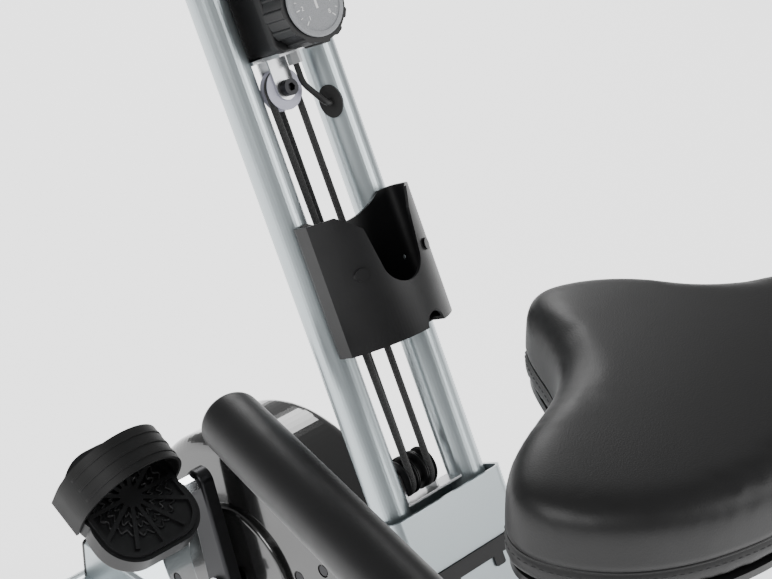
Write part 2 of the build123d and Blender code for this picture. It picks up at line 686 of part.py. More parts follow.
# ---------------------------------------------------------------- mast head, handlebar and console
BAR_S = MAST_HIGH + 22.0
BAR_R = 12.5
with BuildPart() as mast_head:
    with BuildSketch(section(MAST_HIGH)):
        RectangleRounded(2 * MAST_R + 6, MAST_PITCH + 2 * MAST_R + 6, 14)
    extrude(amount=2 * (BAR_S - MAST_HIGH))
    fillet(mast_head.faces().sort_by(Axis((0, 0, 0), mast.z_dir))[-1].edges(), 5)
    with BuildSketch(along(100, 0, BAR_S)):
        Circle(BAR_R)
    extrude(amount=200, mode=Mode.SUBTRACT)
save(mast_head, "mast_head")

bar_points = [at(170, -190, BAR_S - 8), at(0, -190, BAR_S), at(0, 190, BAR_S), at(170, 190, BAR_S - 8)]
handlebar = swept_tube(bar_points, [45, 45], BAR_R, BAR_R - 2)
save(handlebar, "handlebar")

with BuildPart() as handlebar_grips:
    for hand in (-1, 1):
        grip_end = at(170, hand * 190, BAR_S - 8)
        grip_axis = (grip_end - at(0, hand * 190, BAR_S)).normalized()
        with BuildSketch(Plane(origin=grip_end - grip_axis * 115, z_dir=grip_axis)):
            Circle(17)
        extrude(amount=119)
    fillet(handlebar_grips.edges(), 3)
    for hand in (-1, 1):
        grip_end = at(170, hand * 190, BAR_S - 8)
        grip_axis = (grip_end - at(0, hand * 190, BAR_S)).normalized()
        with BuildSketch(Plane(origin=grip_end - grip_axis * 116, z_dir=grip_axis)):
            Circle(BAR_R)
        extrude(amount=116, mode=Mode.SUBTRACT)
save(handlebar_grips, "handlebar_grips")

CONSOLE_LOW = 2 * (BAR_S - MAST_HIGH) + MAST_HIGH
CONSOLE_FACE = 14.0
with BuildPart() as console_body:
    with BuildSketch(section(CONSOLE_LOW)):
        RectangleRounded(18, 44, 4)
    extrude(amount=10)
    with BuildSketch(facing(CONSOLE_FACE - 26, 0, CONSOLE_LOW + 10 + 42)):
        RectangleRounded(136, 84, 14)
    extrude(amount=26)
    fillet(console_body.faces().sort_by(Axis((0, 0, 0), mast.x_dir))[-1].edges(), 3)
    with BuildSketch(facing(CONSOLE_FACE - 2, 0, CONSOLE_LOW + 62)):
        RectangleRounded(92, 40, 3)
    extrude(amount=3, mode=Mode.SUBTRACT)
save(console_body, "console_body")

# ---------------------------------------------------------------- pedal drive


def drive_outline(plane, crank_r, flywheel_r):
    """Belt-shaped outline round the crank axis and the flywheel axis."""
    with BuildSketch(plane) as outline:
        with Locations((CRANK_X, CRANK_Z)):
            Circle(crank_r)
        with Locations((FLYWHEEL_X, FLYWHEEL_Z)):
            Circle(flywheel_r)
        make_hull()
    return outline.sketch


BRAKE_IN_R = FLYWHEEL_R + 4.0
BRAKE_OUT_R = BRAKE_IN_R + 8.0
BRAKE_START = 8.0         # degrees round the flywheel axis from +X
BRAKE_END = 80.0
brake_mid_r = (BRAKE_IN_R + BRAKE_OUT_R) / 2
BRAKE_X = FLYWHEEL_X + brake_mid_r * cos(radians(BRAKE_START))
BRAKE_Z = FLYWHEEL_Z + brake_mid_r * sin(radians(BRAKE_START))
BRAKE_PIN_R = 3.0
PLATE_HALF = 3.0
with BuildPart() as drive_carrier:
    with BuildSketch(side(PLATE_HALF)):
        with Locations((CRANK_X, CRANK_Z)):
            Circle(SHELL_TUBE_R + 8)
        with Locations((FLYWHEEL_X, FLYWHEEL_Z)):
            Circle(22)
        with Locations((CRANK_X, BEAM_TOP + 6)):
            Rectangle(100, 12)
        make_hull()
    with BuildSketch(side(PLATE_HALF)):
        with Locations((FLYWHEEL_X, FLYWHEEL_Z)):
            Circle(18)
        with Locations((BRAKE_X, BRAKE_Z)):
            Circle(8)
        make_hull()
    extrude(amount=2 * PLATE_HALF)
    with BuildSketch(side(SHELL_TUBE_HALF, CRANK_X, CRANK_Z)):
        Circle(SHELL_TUBE_R)
    extrude(amount=2 * SHELL_TUBE_HALF)
    with BuildSketch(side(SHELL_TUBE_HALF + 1, CRANK_X, CRANK_Z)):
        Circle(BEARING_R)
    extrude(amount=2 * SHELL_TUBE_HALF + 2, mode=Mode.SUBTRACT)
    with BuildSketch(side(20, FLYWHEEL_X, FLYWHEEL_Z)):
        Circle(14)
    extrude(amount=31)
    with BuildSketch(side(21, FLYWHEEL_X, FLYWHEEL_Z)):
        Circle(SHAFT_R + RUN)
    extrude(amount=40, mode=Mode.SUBTRACT)
    with BuildSketch(side(PLATE_HALF, BRAKE_X, BRAKE_Z)):
        Circle(BRAKE_PIN_R)
    extrude(amount=PLATE_HALF - FLYWHEEL_Y + 4)
save(drive_carrier, "drive_carrier")

with BuildPart() as crank_bearings:
    for start_y in (-SHELL_TUBE_HALF + 12, SHELL_TUBE_HALF):
        with BuildSketch(side(start_y, CRANK_X, CRANK_Z)):
            Circle(BEARING_R)
            Circle(AXLE_R + RUN, mode=Mode.SUBTRACT)
        extrude(amount=12)
save(crank_bearings, "crank_bearings")

with BuildPart() as crank_axle:
    with BuildSketch(side(CRANK_Y + CRANK_THICK, CRANK_X, CRANK_Z)):
        Circle(AXLE_R)
    extrude(amount=2 * (CRANK_Y + CRANK_THICK))
    # flanged bolts at both ends
    for hand in (-1, 1):
        with BuildSketch(side(hand * (CRANK_Y + CRANK_THICK), CRANK_X, CRANK_Z)):
            Circle(12)
        extrude(amount=-hand * 3)
        with BuildSketch(side(hand * (CRANK_Y + CRANK_THICK + 3), CRANK_X, CRANK_Z)):
            RegularPolygon(9, 6)
        extrude(amount=-hand * 5)
save(crank_axle, "crank_axle")

with BuildPart() as drive_pulley:
    with BuildSketch(side(BELT_Y + BELT_WIDTH, CRANK_X, CRANK_Z)):
        Circle(PULLEY_R)
        with PolarLocations(42, 5):
            Circle(14, mode=Mode.SUBTRACT)
        Circle(AXLE_R, mode=Mode.SUBTRACT)
    extrude(amount=BELT_WIDTH)
save(drive_pulley, "drive_pulley")

with BuildPart() as flywheel:
    with BuildSketch(side(FLYWHEEL_Y + FLYWHEEL_WIDTH, FLYWHEEL_X, FLYWHEEL_Z)):
        Circle(FLYWHEEL_R)
        Circle(SHAFT_R, mode=Mode.SUBTRACT)
    extrude(amount=FLYWHEEL_WIDTH)
    for face_y, direction in ((FLYWHEEL_Y, -1), (FLYWHEEL_Y + FLYWHEEL_WIDTH, 1)):
        with BuildSketch(side(face_y, FLYWHEEL_X, FLYWHEEL_Z)):
            Circle(FLYWHEEL_R - 14)
            Circle(18, mode=Mode.SUBTRACT)
        extrude(amount=direction * 6, mode=Mode.SUBTRACT)
    with BuildSketch(side(BELT_Y + BELT_WIDTH + 3, FLYWHEEL_X, FLYWHEEL_Z)):
        Circle(SHAFT_R)
    extrude(amount=BELT_Y + BELT_WIDTH + 3 - FLYWHEEL_Y + 4)
    with BuildSketch(side(BELT_Y + BELT_WIDTH, FLYWHEEL_X, FLYWHEEL_Z)):
        Circle(SMALL_PULLEY_R)
    extrude(amount=BELT_WIDTH)
save(flywheel, "flywheel")

belt_plane = side(BELT_Y + BELT_WIDTH - 1)
belt_outer = drive_outline(belt_plane, PULLEY_R + GAP + BELT_THICK, SMALL_PULLEY_R + GAP + BELT_THICK)
belt_inner = drive_outline(belt_plane, PULLEY_R + GAP, SMALL_PULLEY_R + GAP)
with BuildPart() as drive_belt:
    extrude(belt_outer, amount=BELT_WIDTH - 2)
    extrude(belt_inner, amount=BELT_WIDTH - 2, mode=Mode.SUBTRACT)
save(drive_belt, "drive_belt")

with BuildPart() as brake_arm:
    with BuildSketch(side(FLYWHEEL_Y + FLYWHEEL_WIDTH + 4, FLYWHEEL_X, FLYWHEEL_Z)):
        Circle(BRAKE_OUT_R)
        Circle(BRAKE_IN_R, mode=Mode.SUBTRACT)
        with BuildLine():
            Polyline(
                (0, 0),
                (200 * cos(radians(BRAKE_START)), 200 * sin(radians(BRAKE_START))),
                (200, 200),
                (200 * cos(radians(BRAKE_END)), 200 * sin(radians(BRAKE_END))),
                close=True,
            )
        make_face(mode=Mode.INTERSECT)
        with Locations((BRAKE_X - FLYWHEEL_X, BRAKE_Z - FLYWHEEL_Z)):
            Circle(6)
            Circle(BRAKE_PIN_R + RUN, mode=Mode.SUBTRACT)
    extrude(amount=FLYWHEEL_WIDTH + 6)
    # magnets on the inner side, facing the rim
    with BuildSketch(side(FLYWHEEL_Y + FLYWHEEL_WIDTH, FLYWHEEL_X, FLYWHEEL_Z)):
        with PolarLocations(BRAKE_IN_R - 1, 4, start_angle=BRAKE_START + 16, angular_range=48, endpoint=True):
            Rectangle(3, 14)
    extrude(amount=FLYWHEEL_WIDTH)
save(brake_arm, "brake_arm")

# ---------------------------------------------------------------- housing
screw_spots = [(-57, 278), (-88, 254), (-262, 268), (-262, 158), (-50, 142)]
HOUSING_EDGE = 14.0
for name, hand in (("left", -1), ("right", 1)):
    outer = drive_outline(side(hand * GAP / 2), HOUSING_R, HOUSING_LOBE_R)
    inner = drive_outline(side(-hand), HOUSING_R - HOUSING_WALL, HOUSING_LOBE_R - HOUSING_WALL)
    face_index = 0 if hand < 0 else -1
    with BuildPart() as core:
        extrude(inner, amount=-hand * (HOUSING_HALF - HOUSING_WALL + 1))
        fillet(core.faces().sort_by(Axis.Y)[face_index].edges(), HOUSING_EDGE - HOUSING_WALL)
    with BuildPart() as shell:
        extrude(outer, amount=-hand * (HOUSING_HALF - GAP / 2))
        fillet(shell.faces().sort_by(Axis.Y)[face_index].edges(), HOUSING_EDGE)
        add(core.part, mode=Mode.SUBTRACT)
        # round cover over the crank's bearing
        with BuildSketch(side(hand * (HOUSING_HALF - 1), CRANK_X, CRANK_Z)):
            Circle(DISC_R)
        extrude(amount=-hand * 7)
        fillet(shell.faces().sort_by(Axis.Y)[face_index].edges(), 4)
        with BuildSketch(side(hand * 70, CRANK_X, CRANK_Z)):
            Circle(AXLE_R + 5)
        extrude(amount=hand * 60, mode=Mode.SUBTRACT)
        with BuildSketch(Plane.YZ.offset(-FOOT_X)):
            with Locations((0, BEAM_TOP + GAP - 60)):
                Rectangle(BEAM_WIDTH + 2 * GAP, 120)
        extrude(amount=2 * FOOT_X, mode=Mode.SUBTRACT)
        with BuildSketch(side(hand * (HOUSING_HALF - 2))):
            with Locations(*screw_spots):
                Circle(6.5)
        extrude(amount=-hand * 4, mode=Mode.SUBTRACT)
    save(shell, f"housing_{name}")

with BuildPart() as housing_screws:
    for hand in (-1, 1):
        with BuildSketch(side(hand * (HOUSING_HALF - 2))):
            with Locations(*screw_spots):
                Circle(5)
        extrude(amount=-hand * 1.6)
save(housing_screws, "housing_screws")

# ---------------------------------------------------------------- cranks and pedals


def pedal_outline(plane, hand, inset):
    """Nearly half-round toe end and a rounder-cornered heel end."""
    width = PEDAL_WIDTH - 2 * inset
    toe_end = PEDAL_SHIFT - PEDAL_LENGTH / 2 + inset
    heel_end = PEDAL_SHIFT + PEDAL_LENGTH / 2 - inset
    toe_length = 2 * TOE_RADIUS + 6
    heel_length = 2 * HEEL_RADIUS + 6
    with BuildSketch(plane) as outline:
        with Locations((toe_end + toe_length / 2, hand * PEDAL_WIDTH / 2)):
            RectangleRounded(toe_length, width, TOE_RADIUS - inset)
        with Locations((heel_end - heel_length / 2, hand * PEDAL_WIDTH / 2)):
            RectangleRounded(heel_length, width, HEEL_RADIUS - inset)
    return outline.sketch


def pedal_tread(plane, hand):
    """Raised rim, hub ring and ribs that spread from the hub."""
    rim = pedal_outline(plane, hand, TREAD_RIM)
    hollow = pedal_outline(plane, hand, 2 * TREAD_RIM)
    with BuildSketch(plane) as ribs:
        with Locations((PEDAL_SHIFT, hand * PEDAL_WIDTH / 2)):
            Circle(11)
            with PolarLocations(31, 12):
                Rectangle(44, 4)
    return rim - hollow + (ribs.sketch & rim)


for name, hand, turn in (("left", -1, CRANK_ANGLE), ("right", 1, CRANK_ANGLE + 180)):
    eye_x = CRANK_X + CRANK_LENGTH * cos(radians(turn))
    eye_z = CRANK_Z + CRANK_LENGTH * sin(radians(turn))
    with BuildPart() as crank:
        with BuildSketch(side(hand * CRANK_Y)):
            with Locations((CRANK_X, CRANK_Z)):
                Circle(17)
            with Locations((eye_x, eye_z)):
                Circle(12.5)
            make_hull()
        extrude(amount=-hand * CRANK_THICK)
        fillet(crank.faces().sort_by(Axis.Y)[0 if hand < 0 else -1].edges(), 3)
        with BuildSketch(side(hand * CRANK_Y)):
            with Locations((CRANK_X, CRANK_Z)):
                Circle(AXLE_R)
            with Locations((eye_x, eye_z)):
                Circle(SPINDLE_R)
        extrude(amount=-hand * (CRANK_THICK + 1), mode=Mode.SUBTRACT)
    save(crank, f"crank_{name}")

    inner_y = hand * (CRANK_Y + CRANK_THICK + PEDAL_GAP)
    # x runs towards the rider's heel, z out of the tread
    tread = Plane(
        origin=(eye_x, inner_y, eye_z),
        x_dir=(cos(radians(PEDAL_TILT)), 0, -sin(radians(PEDAL_TILT))),
        z_dir=(sin(radians(PEDAL_TILT)), 0, cos(radians(PEDAL_TILT))),
    )
    pedal_slab = extrude(pedal_outline(tread.offset(-PEDAL_THICK / 2), hand, 0), PEDAL_THICK)
    pedal_ribs = extrude(pedal_tread(tread.offset(PEDAL_THICK / 2 - 0.5), hand), TREAD_RISE + 0.5)
    with BuildPart() as pedal:
        add(pedal_slab)
        fillet(pedal.faces().sort_by(Axis((0, 0, 0), tread.z_dir))[0].edges(), 4)
        add(pedal_ribs)
        with BuildSketch(side(inner_y - hand, eye_x, eye_z)):
            Circle(SPINDLE_R + RUN)
        extrude(amount=-hand * (PEDAL_WIDTH - 8), mode=Mode.SUBTRACT)
    save(pedal, f"pedal_{name}")

    strap_plane = Plane(origin=tread.origin, x_dir=(0, 1, 0), z_dir=tread.x_dir)
    strap_half = PEDAL_WIDTH / 2 + GAP
    strap_low = -PEDAL_THICK / 2 + 2
    with BuildPart() as strap:
        with BuildSketch(strap_plane.offset(STRAP_X - STRAP_WIDTH / 2)):
            with Locations((hand * PEDAL_WIDTH / 2, PEDAL_THICK / 2)):
                Ellipse(strap_half + STRAP_THICK, STRAP_RISE)
                Ellipse(strap_half, STRAP_RISE - STRAP_THICK, mode=Mode.SUBTRACT)
            with Locations((hand * PEDAL_WIDTH / 2, PEDAL_THICK / 2 + 50)):
                Rectangle(3 * PEDAL_WIDTH, 100, mode=Mode.INTERSECT)
            for edge in (-1, 1):
                with Locations((
                    hand * PEDAL_WIDTH / 2 + edge * (strap_half + STRAP_THICK / 2),
                    (PEDAL_THICK / 2 + strap_low) / 2,
                )):
                    Rectangle(STRAP_THICK, PEDAL_THICK / 2 - strap_low + 0.2)
        extrude(amount=STRAP_WIDTH)
    save(strap, f"pedal_strap_{name}")

with BuildPart() as pedal_spindles:
    for hand, turn in ((-1, CRANK_ANGLE), (1, CRANK_ANGLE + 180)):
        eye_x = CRANK_X + CRANK_LENGTH * cos(radians(turn))
        eye_z = CRANK_Z + CRANK_LENGTH * sin(radians(turn))
        with BuildSketch(side(hand * (CRANK_Y + 1), eye_x, eye_z)):
            Circle(SPINDLE_R)
        extrude(amount=-hand * (CRANK_THICK + PEDAL_GAP + PEDAL_WIDTH - 10))
        with BuildSketch(side(hand * (CRANK_Y + CRANK_THICK), eye_x, eye_z)):
            RegularPolygon(9.5, 6)
        extrude(amount=-hand * (PEDAL_GAP - GAP))
save(pedal_spindles, "pedal_spindles")

# ---------------------------------------------------------------- saddle post
with BuildPart() as seat_post_outer:
    with BuildSketch(Plane.XY.offset(BEAM_TOP)):
        with Locations((POST_X, 0)):
            Circle(POST_OUTER_R)
            Circle(POST_BUSH_R, mode=Mode.SUBTRACT)
    extrude(amount=POST_OUTER_TOP - BEAM_TOP)
    with BuildSketch(Plane.YZ.offset(POST_X + POST_BUSH_R + 1)):
        with Locations((0, POST_OUTER_TOP - 45)):
            Circle(11)
    extrude(amount=14)
    with BuildSketch(Plane.YZ.offset(POST_X + 10)):
        with Locations((0, POST_OUTER_TOP - 45)):
            Circle(5)
    extrude(amount=40, mode=Mode.SUBTRACT)
    for hand in (-1, 1):
        with BuildSketch(side(3 if hand < 0 else 3)):
            with BuildLine():
                Polyline(
                    (POST_X + hand * (POST_OUTER_R - 1), BEAM_TOP),
                    (POST_X + hand * (POST_OUTER_R + 55), BEAM_TOP),
                    (POST_X + hand * (POST_OUTER_R - 1), BEAM_TOP + 70),
                    close=True,
                )
            make_face()
        extrude(amount=6)
save(seat_post_outer, "seat_post_outer")

with BuildPart() as post_bush:
    with BuildSketch(Plane.XY.offset(POST_OUTER_TOP - 90)):
        with Locations((POST_X, 0)):
            Circle(POST_BUSH_R)
            Circle(POST_INNER_R + RUN, mode=Mode.SUBTRACT)
    extrude(amount=90)
    with BuildSketch(Plane.XY.offset(POST_OUTER_TOP)):
        with Locations((POST_X, 0)):
            Circle(POST_OUTER_R + 2)
            Circle(POST_INNER_R + RUN, mode=Mode.SUBTRACT)
    extrude(amount=5)
    with BuildSketch(Plane.YZ.offset(POST_X + 10)):
        with Locations((0, POST_OUTER_TOP - 45)):
            Circle(5)
    extrude(amount=40, mode=Mode.SUBTRACT)
save(post_bush, "post_bush")

with BuildPart() as seat_clamp_knob:
    with BuildSketch(Plane.YZ.offset(POST_X + POST_INNER_R + GAP)):
        with Locations((0, POST_OUTER_TOP - 45)):
            Circle(4.95)
    extrude(amount=24)
    with BuildSketch(Plane.YZ.offset(POST_X + POST_BUSH_R + 15 + GAP)):
        with Locations((0, POST_OUTER_TOP - 45)):
            Circle(20)
            with PolarLocations(20, 6):
                Circle(6)
    extrude(amount=20)
save(seat_clamp_knob, "seat_clamp_knob")

PAN_LOW = SADDLE_Z - PAN_THICK
CLAMP_HEIGHT = 26.0
with BuildPart() as seat_post_inner:
    with BuildSketch(Plane.XY.offset(POST_INNER_LOW)):
        with Locations((POST_X, 0)):
            Circle(POST_INNER_R)
            Circle(POST_INNER_R - 2.5, mode=Mode.SUBTRACT)
    extrude(amount=PAN_LOW - CLAMP_HEIGHT - POST_INNER_LOW)
    # welded socket for the side bar
    with BuildSketch(Plane.XY.offset(SIDE_BAR_Z - 20)):
        with Locations((POST_X, 0)):
            Circle(POST_INNER_R + 6)
        with Locations((SIDE_BAR_X, 0)):
            Rectangle(2 * SIDE_BAR_R + 12, 2 * SOCKET_HALF)
        make_hull()
        with Locations((POST_X, 0)):
            Circle(POST_INNER_R - 1, mode=Mode.SUBTRACT)
    extrude(amount=40)
    with BuildSketch(side(2 * SOCKET_HALF)):
        with Locations((SIDE_BAR_X, SIDE_BAR_Z)):
            Circle(SIDE_BAR_R)
    extrude(amount=4 * SOCKET_HALF, mode=Mode.SUBTRACT)
save(seat_post_inner, "seat_post_inner")

nose_end = SADDLE_NOSE_X
tail_end = SADDLE_NOSE_X + SADDLE_LENGTH


def saddle_outline(z, inset):
    """Blunt nose, hollow flanks and a broad tail, seen from above."""
    nose = nose_end + inset
    tail = tail_end - inset
    narrow = SADDLE_HALF_NOSE - inset
    wide = SADDLE_HALF_WIDE - inset
    length = SADDLE_LENGTH
    flank = [
        (nose_end + 0.17 * length, narrow), (nose_end + 0.28 * length, narrow + 22),
        (nose_end + 0.46 * length, wide - 38), (nose_end + 0.60 * length, wide),
        (nose_end + 0.75 * length, wide - 12), (nose_end + 0.91 * length, wide - 66),
    ]
    other = [(x, -y) for x, y in reversed(flank)]
    with BuildSketch(Plane.XY.offset(z)) as outline:
        with BuildLine():
            Spline((nose, 0), *flank, (tail, 0), *other, periodic=True)
        make_face()
    return outline.sketch


cushion_outline = saddle_outline(SADDLE_Z, 0)
pan_outline = saddle_outline(PAN_LOW, 8)
with BuildPart() as saddle_cushion:
    extrude(cushion_outline, amount=SADDLE_HEIGHT)
    fillet(saddle_cushion.faces().sort_by(Axis.Z)[-1].edges(), 18)
save(saddle_cushion, "saddle_cushion")

with BuildPart() as saddle_pan:
    extrude(pan_outline, amount=PAN_THICK)
    with BuildSketch(Plane.XY.offset(PAN_LOW - CLAMP_HEIGHT)):
        with Locations((POST_X, 0)):
            RectangleRounded(120, 60, 8)
    extrude(amount=CLAMP_HEIGHT)
    fillet(saddle_pan.faces().sort_by(Axis.Z)[0].edges(), 5)
save(saddle_pan, "saddle_pan")

# ---------------------------------------------------------------- side handles
GRIP_FRONT_X = -40.0
GRIP_FRONT_Y = 165.0
SIDE_BAR_BEND_Y = 257.0
GRIP_CAP = 6.2            # closed foam in front of the bar's end
grip_start = Vector(GRIP_FRONT_X, GRIP_FRONT_Y, SIDE_BAR_Z)
grip_heading = (Vector(SIDE_BAR_X, SIDE_BAR_BEND_Y, SIDE_BAR_Z) - grip_start).normalized()
bar_start = grip_start + grip_heading * (GRIP_CAP + GAP)
bar_points = [
    (bar_start.X, -bar_start.Y, SIDE_BAR_Z),
    (SIDE_BAR_X, -SIDE_BAR_BEND_Y, SIDE_BAR_Z),
    (SIDE_BAR_X, SOCKET_HALF - 2, SIDE_BAR_Z),
]
side_bar = swept_tube(bar_points, [70], SIDE_BAR_R, SIDE_BAR_R - 2)
save(side_bar, "side_bar")

heading = Vector(grip_heading.X, -grip_heading.Y, 0)
with BuildPart() as foam_grip:
    with BuildSketch(Plane(origin=(grip_start.X, -grip_start.Y, SIDE_BAR_Z), z_dir=heading)):
        Circle(GRIP_R)
    extrude(amount=GRIP_LENGTH)
    fillet(foam_grip.edges().filter_by(GeomType.CIRCLE), 5)
    bore_start = Vector(grip_start.X, -grip_start.Y, SIDE_BAR_Z) + heading * GRIP_CAP
    with BuildSketch(Plane(origin=bore_start, z_dir=heading)):
        Circle(SIDE_BAR_R)
    extrude(amount=GRIP_LENGTH, mode=Mode.SUBTRACT)
save(foam_grip, "foam_grip")
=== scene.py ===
"""Looks for the folding pedal and rowing trainer: finishes, saddle, foam, dial marks, tread and stage."""
import json
from math import atan2, cos, pi, radians, sin

import bmesh
import bpy
import numpy as np
from mathutils import Matrix, Vector
from mathutils.bvhtree import BVHTree


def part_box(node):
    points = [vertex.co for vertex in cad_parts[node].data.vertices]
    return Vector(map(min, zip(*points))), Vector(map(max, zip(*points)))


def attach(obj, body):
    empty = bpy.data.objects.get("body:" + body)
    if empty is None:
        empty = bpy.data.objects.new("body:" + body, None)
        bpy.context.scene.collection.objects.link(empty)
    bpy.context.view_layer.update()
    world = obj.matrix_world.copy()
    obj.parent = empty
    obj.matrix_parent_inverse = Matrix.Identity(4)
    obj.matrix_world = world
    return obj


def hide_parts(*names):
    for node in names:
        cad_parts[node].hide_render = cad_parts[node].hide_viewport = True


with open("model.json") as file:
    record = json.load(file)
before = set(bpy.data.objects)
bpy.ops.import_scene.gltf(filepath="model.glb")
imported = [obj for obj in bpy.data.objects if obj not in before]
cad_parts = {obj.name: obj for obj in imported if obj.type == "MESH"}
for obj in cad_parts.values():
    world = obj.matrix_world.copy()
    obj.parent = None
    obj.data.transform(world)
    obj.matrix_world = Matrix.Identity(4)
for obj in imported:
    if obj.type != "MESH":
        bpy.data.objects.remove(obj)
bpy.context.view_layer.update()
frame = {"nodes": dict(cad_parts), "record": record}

# ---------------------------------------------------------------- camera
CAMERA_PLACE = (1.043, -1.072, 1.429)
CAMERA_RIGHT = Vector((0.70711, 0.70711, 0.0))
CAMERA_UP = Vector((-0.35355, 0.35355, 0.86603))
CAMERA_BACK = Vector((0.61237, -0.61237, 0.5))
camera_data = bpy.data.cameras.new("camera")
camera_data.lens = 99.9
camera_data.sensor_width = 36.0
camera = bpy.data.objects.new("camera", camera_data)
bpy.context.scene.collection.objects.link(camera)
turn = Matrix((CAMERA_RIGHT, CAMERA_UP, CAMERA_BACK)).transposed()
camera.matrix_world = Matrix.Translation(CAMERA_PLACE) @ turn.to_4x4()
bpy.context.scene.camera = camera


# ---------------------------------------------------------------- shader helpers
class Value:
    """A shader socket or number; arithmetic on it adds Math nodes."""

    def __init__(self, finish, source):
        self.finish = finish
        self.source = source

    def _math(self, operation, first, second):
        node = self.finish.node("Math", {"operation": operation}, {0: first, 1: second})
        return Value(self.finish, node.outputs[0])

    def __add__(self, other):
        return self._math("ADD", self, other)

    def __radd__(self, other):
        return self._math("ADD", other, self)

    def __sub__(self, other):
        return self._math("SUBTRACT", self, other)

    def __rsub__(self, other):
        return self._math("SUBTRACT", other, self)

    def __mul__(self, other):
        return self._math("MULTIPLY", self, other)

    def __rmul__(self, other):
        return self._math("MULTIPLY", other, self)

    def __gt__(self, other):
        return self._math("GREATER_THAN", self, other)


class Finish:
    """One material: a Principled shader, with varying inputs linked and constants set on its sockets."""

    def __init__(self, name, **constants):
        self.material = bpy.data.materials.new(name)
        self.material.use_nodes = True
        self.tree = self.material.node_tree
        self.tree.nodes.clear()
        self.shader = self.node("BsdfPrincipled", {}, {k.replace("_", " "): v for k, v in constants.items()})
        self.node("OutputMaterial", {}, {"Surface": self.shader.outputs[0]})
        self.place = self.node("TexCoord").outputs["Object"]

    def node(self, kind, settings=None, inputs=None):
        """Any node: its settings first, then the values or links of its sockets."""
        made = self.tree.nodes.new("ShaderNode" + kind)
        for key, value in (settings or {}).items():
            if key == "ramp":
                while len(made.color_ramp.elements) < len(value):
                    made.color_ramp.elements.new(0.5)
                for stop, (spot, shade) in zip(made.color_ramp.elements, value):
                    stop.position = spot
                    stop.color = shade if len(shade) == 4 else (*shade, 1.0)
            else:
                setattr(made, key, value)
        for key, value in (inputs or {}).items():
            source = value.source if isinstance(value, Value) else value
            if isinstance(source, bpy.types.NodeSocket):
                self.tree.links.new(source, made.inputs[key])
            else:
                made.inputs[key].default_value = source
        return made

    def stretched(self, scale):
        """Object coordinates stretched by three factors."""
        return self.node("Mapping", {}, {"Vector": self.place, "Scale": scale}).outputs[0]

    def noise(self, scale, detail=3.0, place=None, rough=0.5):
        """Smooth noise, scale in cells per metre."""
        inputs = {"Vector": place or self.place, "Scale": scale, "Detail": detail, "Roughness": rough}
        return Value(self, self.node("TexNoise", {}, inputs).outputs["Fac"])

    def cells(self, scale, feature="F1", place=None):
        """Distance inside random cells, scale in cells per metre."""
        inputs = {"Vector": place or self.place, "Scale": scale}
        return Value(self, self.node("TexVoronoi", {"feature": feature}, inputs).outputs["Distance"])

    def colours(self, mask, first, second):
        """Base colour that goes from first to second as mask goes from 0 to 1."""
        settings = {"data_type": "RGBA"}
        inputs = {"Factor": mask, 6: (*first, 1.0), 7: (*second, 1.0)}
        mixed = self.node("Mix", settings, inputs)
        self.tree.links.new(mixed.outputs[2], self.shader.inputs["Base Color"])

    def drive(self, socket, value):
        """Links a worked-out value to a socket of the shader."""
        self.tree.links.new(value.source, self.shader.inputs[socket])

    def bump(self, height, depth, strength=1.0):
        """Relief of the given depth in metres."""
        inputs = {"Height": height, "Distance": depth, "Strength": strength}
        self.tree.links.new(self.node("Bump", {}, inputs).outputs[0], self.shader.inputs["Normal"])


def mottled(finish, first, second, scale, rough, spread):
    """Cloudy colour from first to second, and roughness that varies by spread about rough."""
    cloud = finish.noise(scale, 5.0)
    finish.colours(cloud, first, second)
    finish.drive("Roughness", rough + spread * (finish.noise(scale * 2.3, 4.0) - 0.5))
    return cloud


# ---------------------------------------------------------------- finishes
def metallic_paint():
    """Silver paint with fine flakes under a clear coat."""
    made = Finish("silver_paint", Metallic=0.86, Coat_Weight=0.35, Coat_Roughness=0.12)
    flakes = made.cells(2600.0)
    cloud = made.noise(7.0, 3.0)
    made.colours(0.55 * flakes + 0.45 * cloud, (0.46, 0.515, 0.53), (0.41, 0.46, 0.48))
    made.drive("Roughness", 0.29 + 0.04 * made.noise(12.0, 3.0))
    made.bump(made.noise(1800.0, 2.0), 0.00001, 0.3)
    return made.material


def powder_coat():
    """Black powder coat with a fine orange-peel skin."""
    made = Finish("frame_black", Specular_IOR_Level=0.4)
    mottled(made, (0.005, 0.005, 0.005), (0.009, 0.009, 0.010), 40.0, 0.38, 0.10)
    made.bump(made.noise(1500.0, 2.0), 0.00005, 0.6)
    return made.material


def gloss_shell():
    """Glossy moulded plastic, with faint smears."""
    made = Finish("gloss_black", Coat_Weight=0.6, Coat_Roughness=0.04)
    mottled(made, (0.003, 0.003, 0.003), (0.006, 0.006, 0.006), 12.0, 0.14, 0.10)
    made.bump(made.noise(9.0, 2.0), 0.0004, 0.25)
    return made.material


def moulded_plastic(name, shade, rough):
    """Satin moulded plastic with a spark-eroded grain."""
    made = Finish(name, Specular_IOR_Level=0.32)
    mottled(made, tuple(0.8 * c for c in shade), tuple(1.2 * c for c in shade), 25.0, rough, 0.10)
    made.bump(made.noise(2200.0, 3.0), 0.00006, 0.7)
    return made.material


def matt_rubber(name, shade, rough, grain, depth):
    """Rubber or closed-cell foam: small cells pressed in a dull skin."""
    made = Finish(name, Specular_IOR_Level=0.30)
    mottled(made, tuple(0.75 * c for c in shade), tuple(1.25 * c for c in shade), 30.0, rough, 0.12)
    made.bump(made.cells(grain), depth, 0.8)
    return made.material


def bare_metal(name, shade, rough, stretch, depth):
    """Plated or turned metal with drawn scratches."""
    made = Finish(name, Metallic=1.0)
    scratches = made.noise(90.0, 6.0, made.stretched(stretch), 0.7)
    made.colours(scratches, tuple(0.82 * c for c in shade), shade)
    made.drive("Roughness", rough + 0.16 * (scratches - 0.5))
    made.bump(scratches, depth, 0.4)
    return made.material


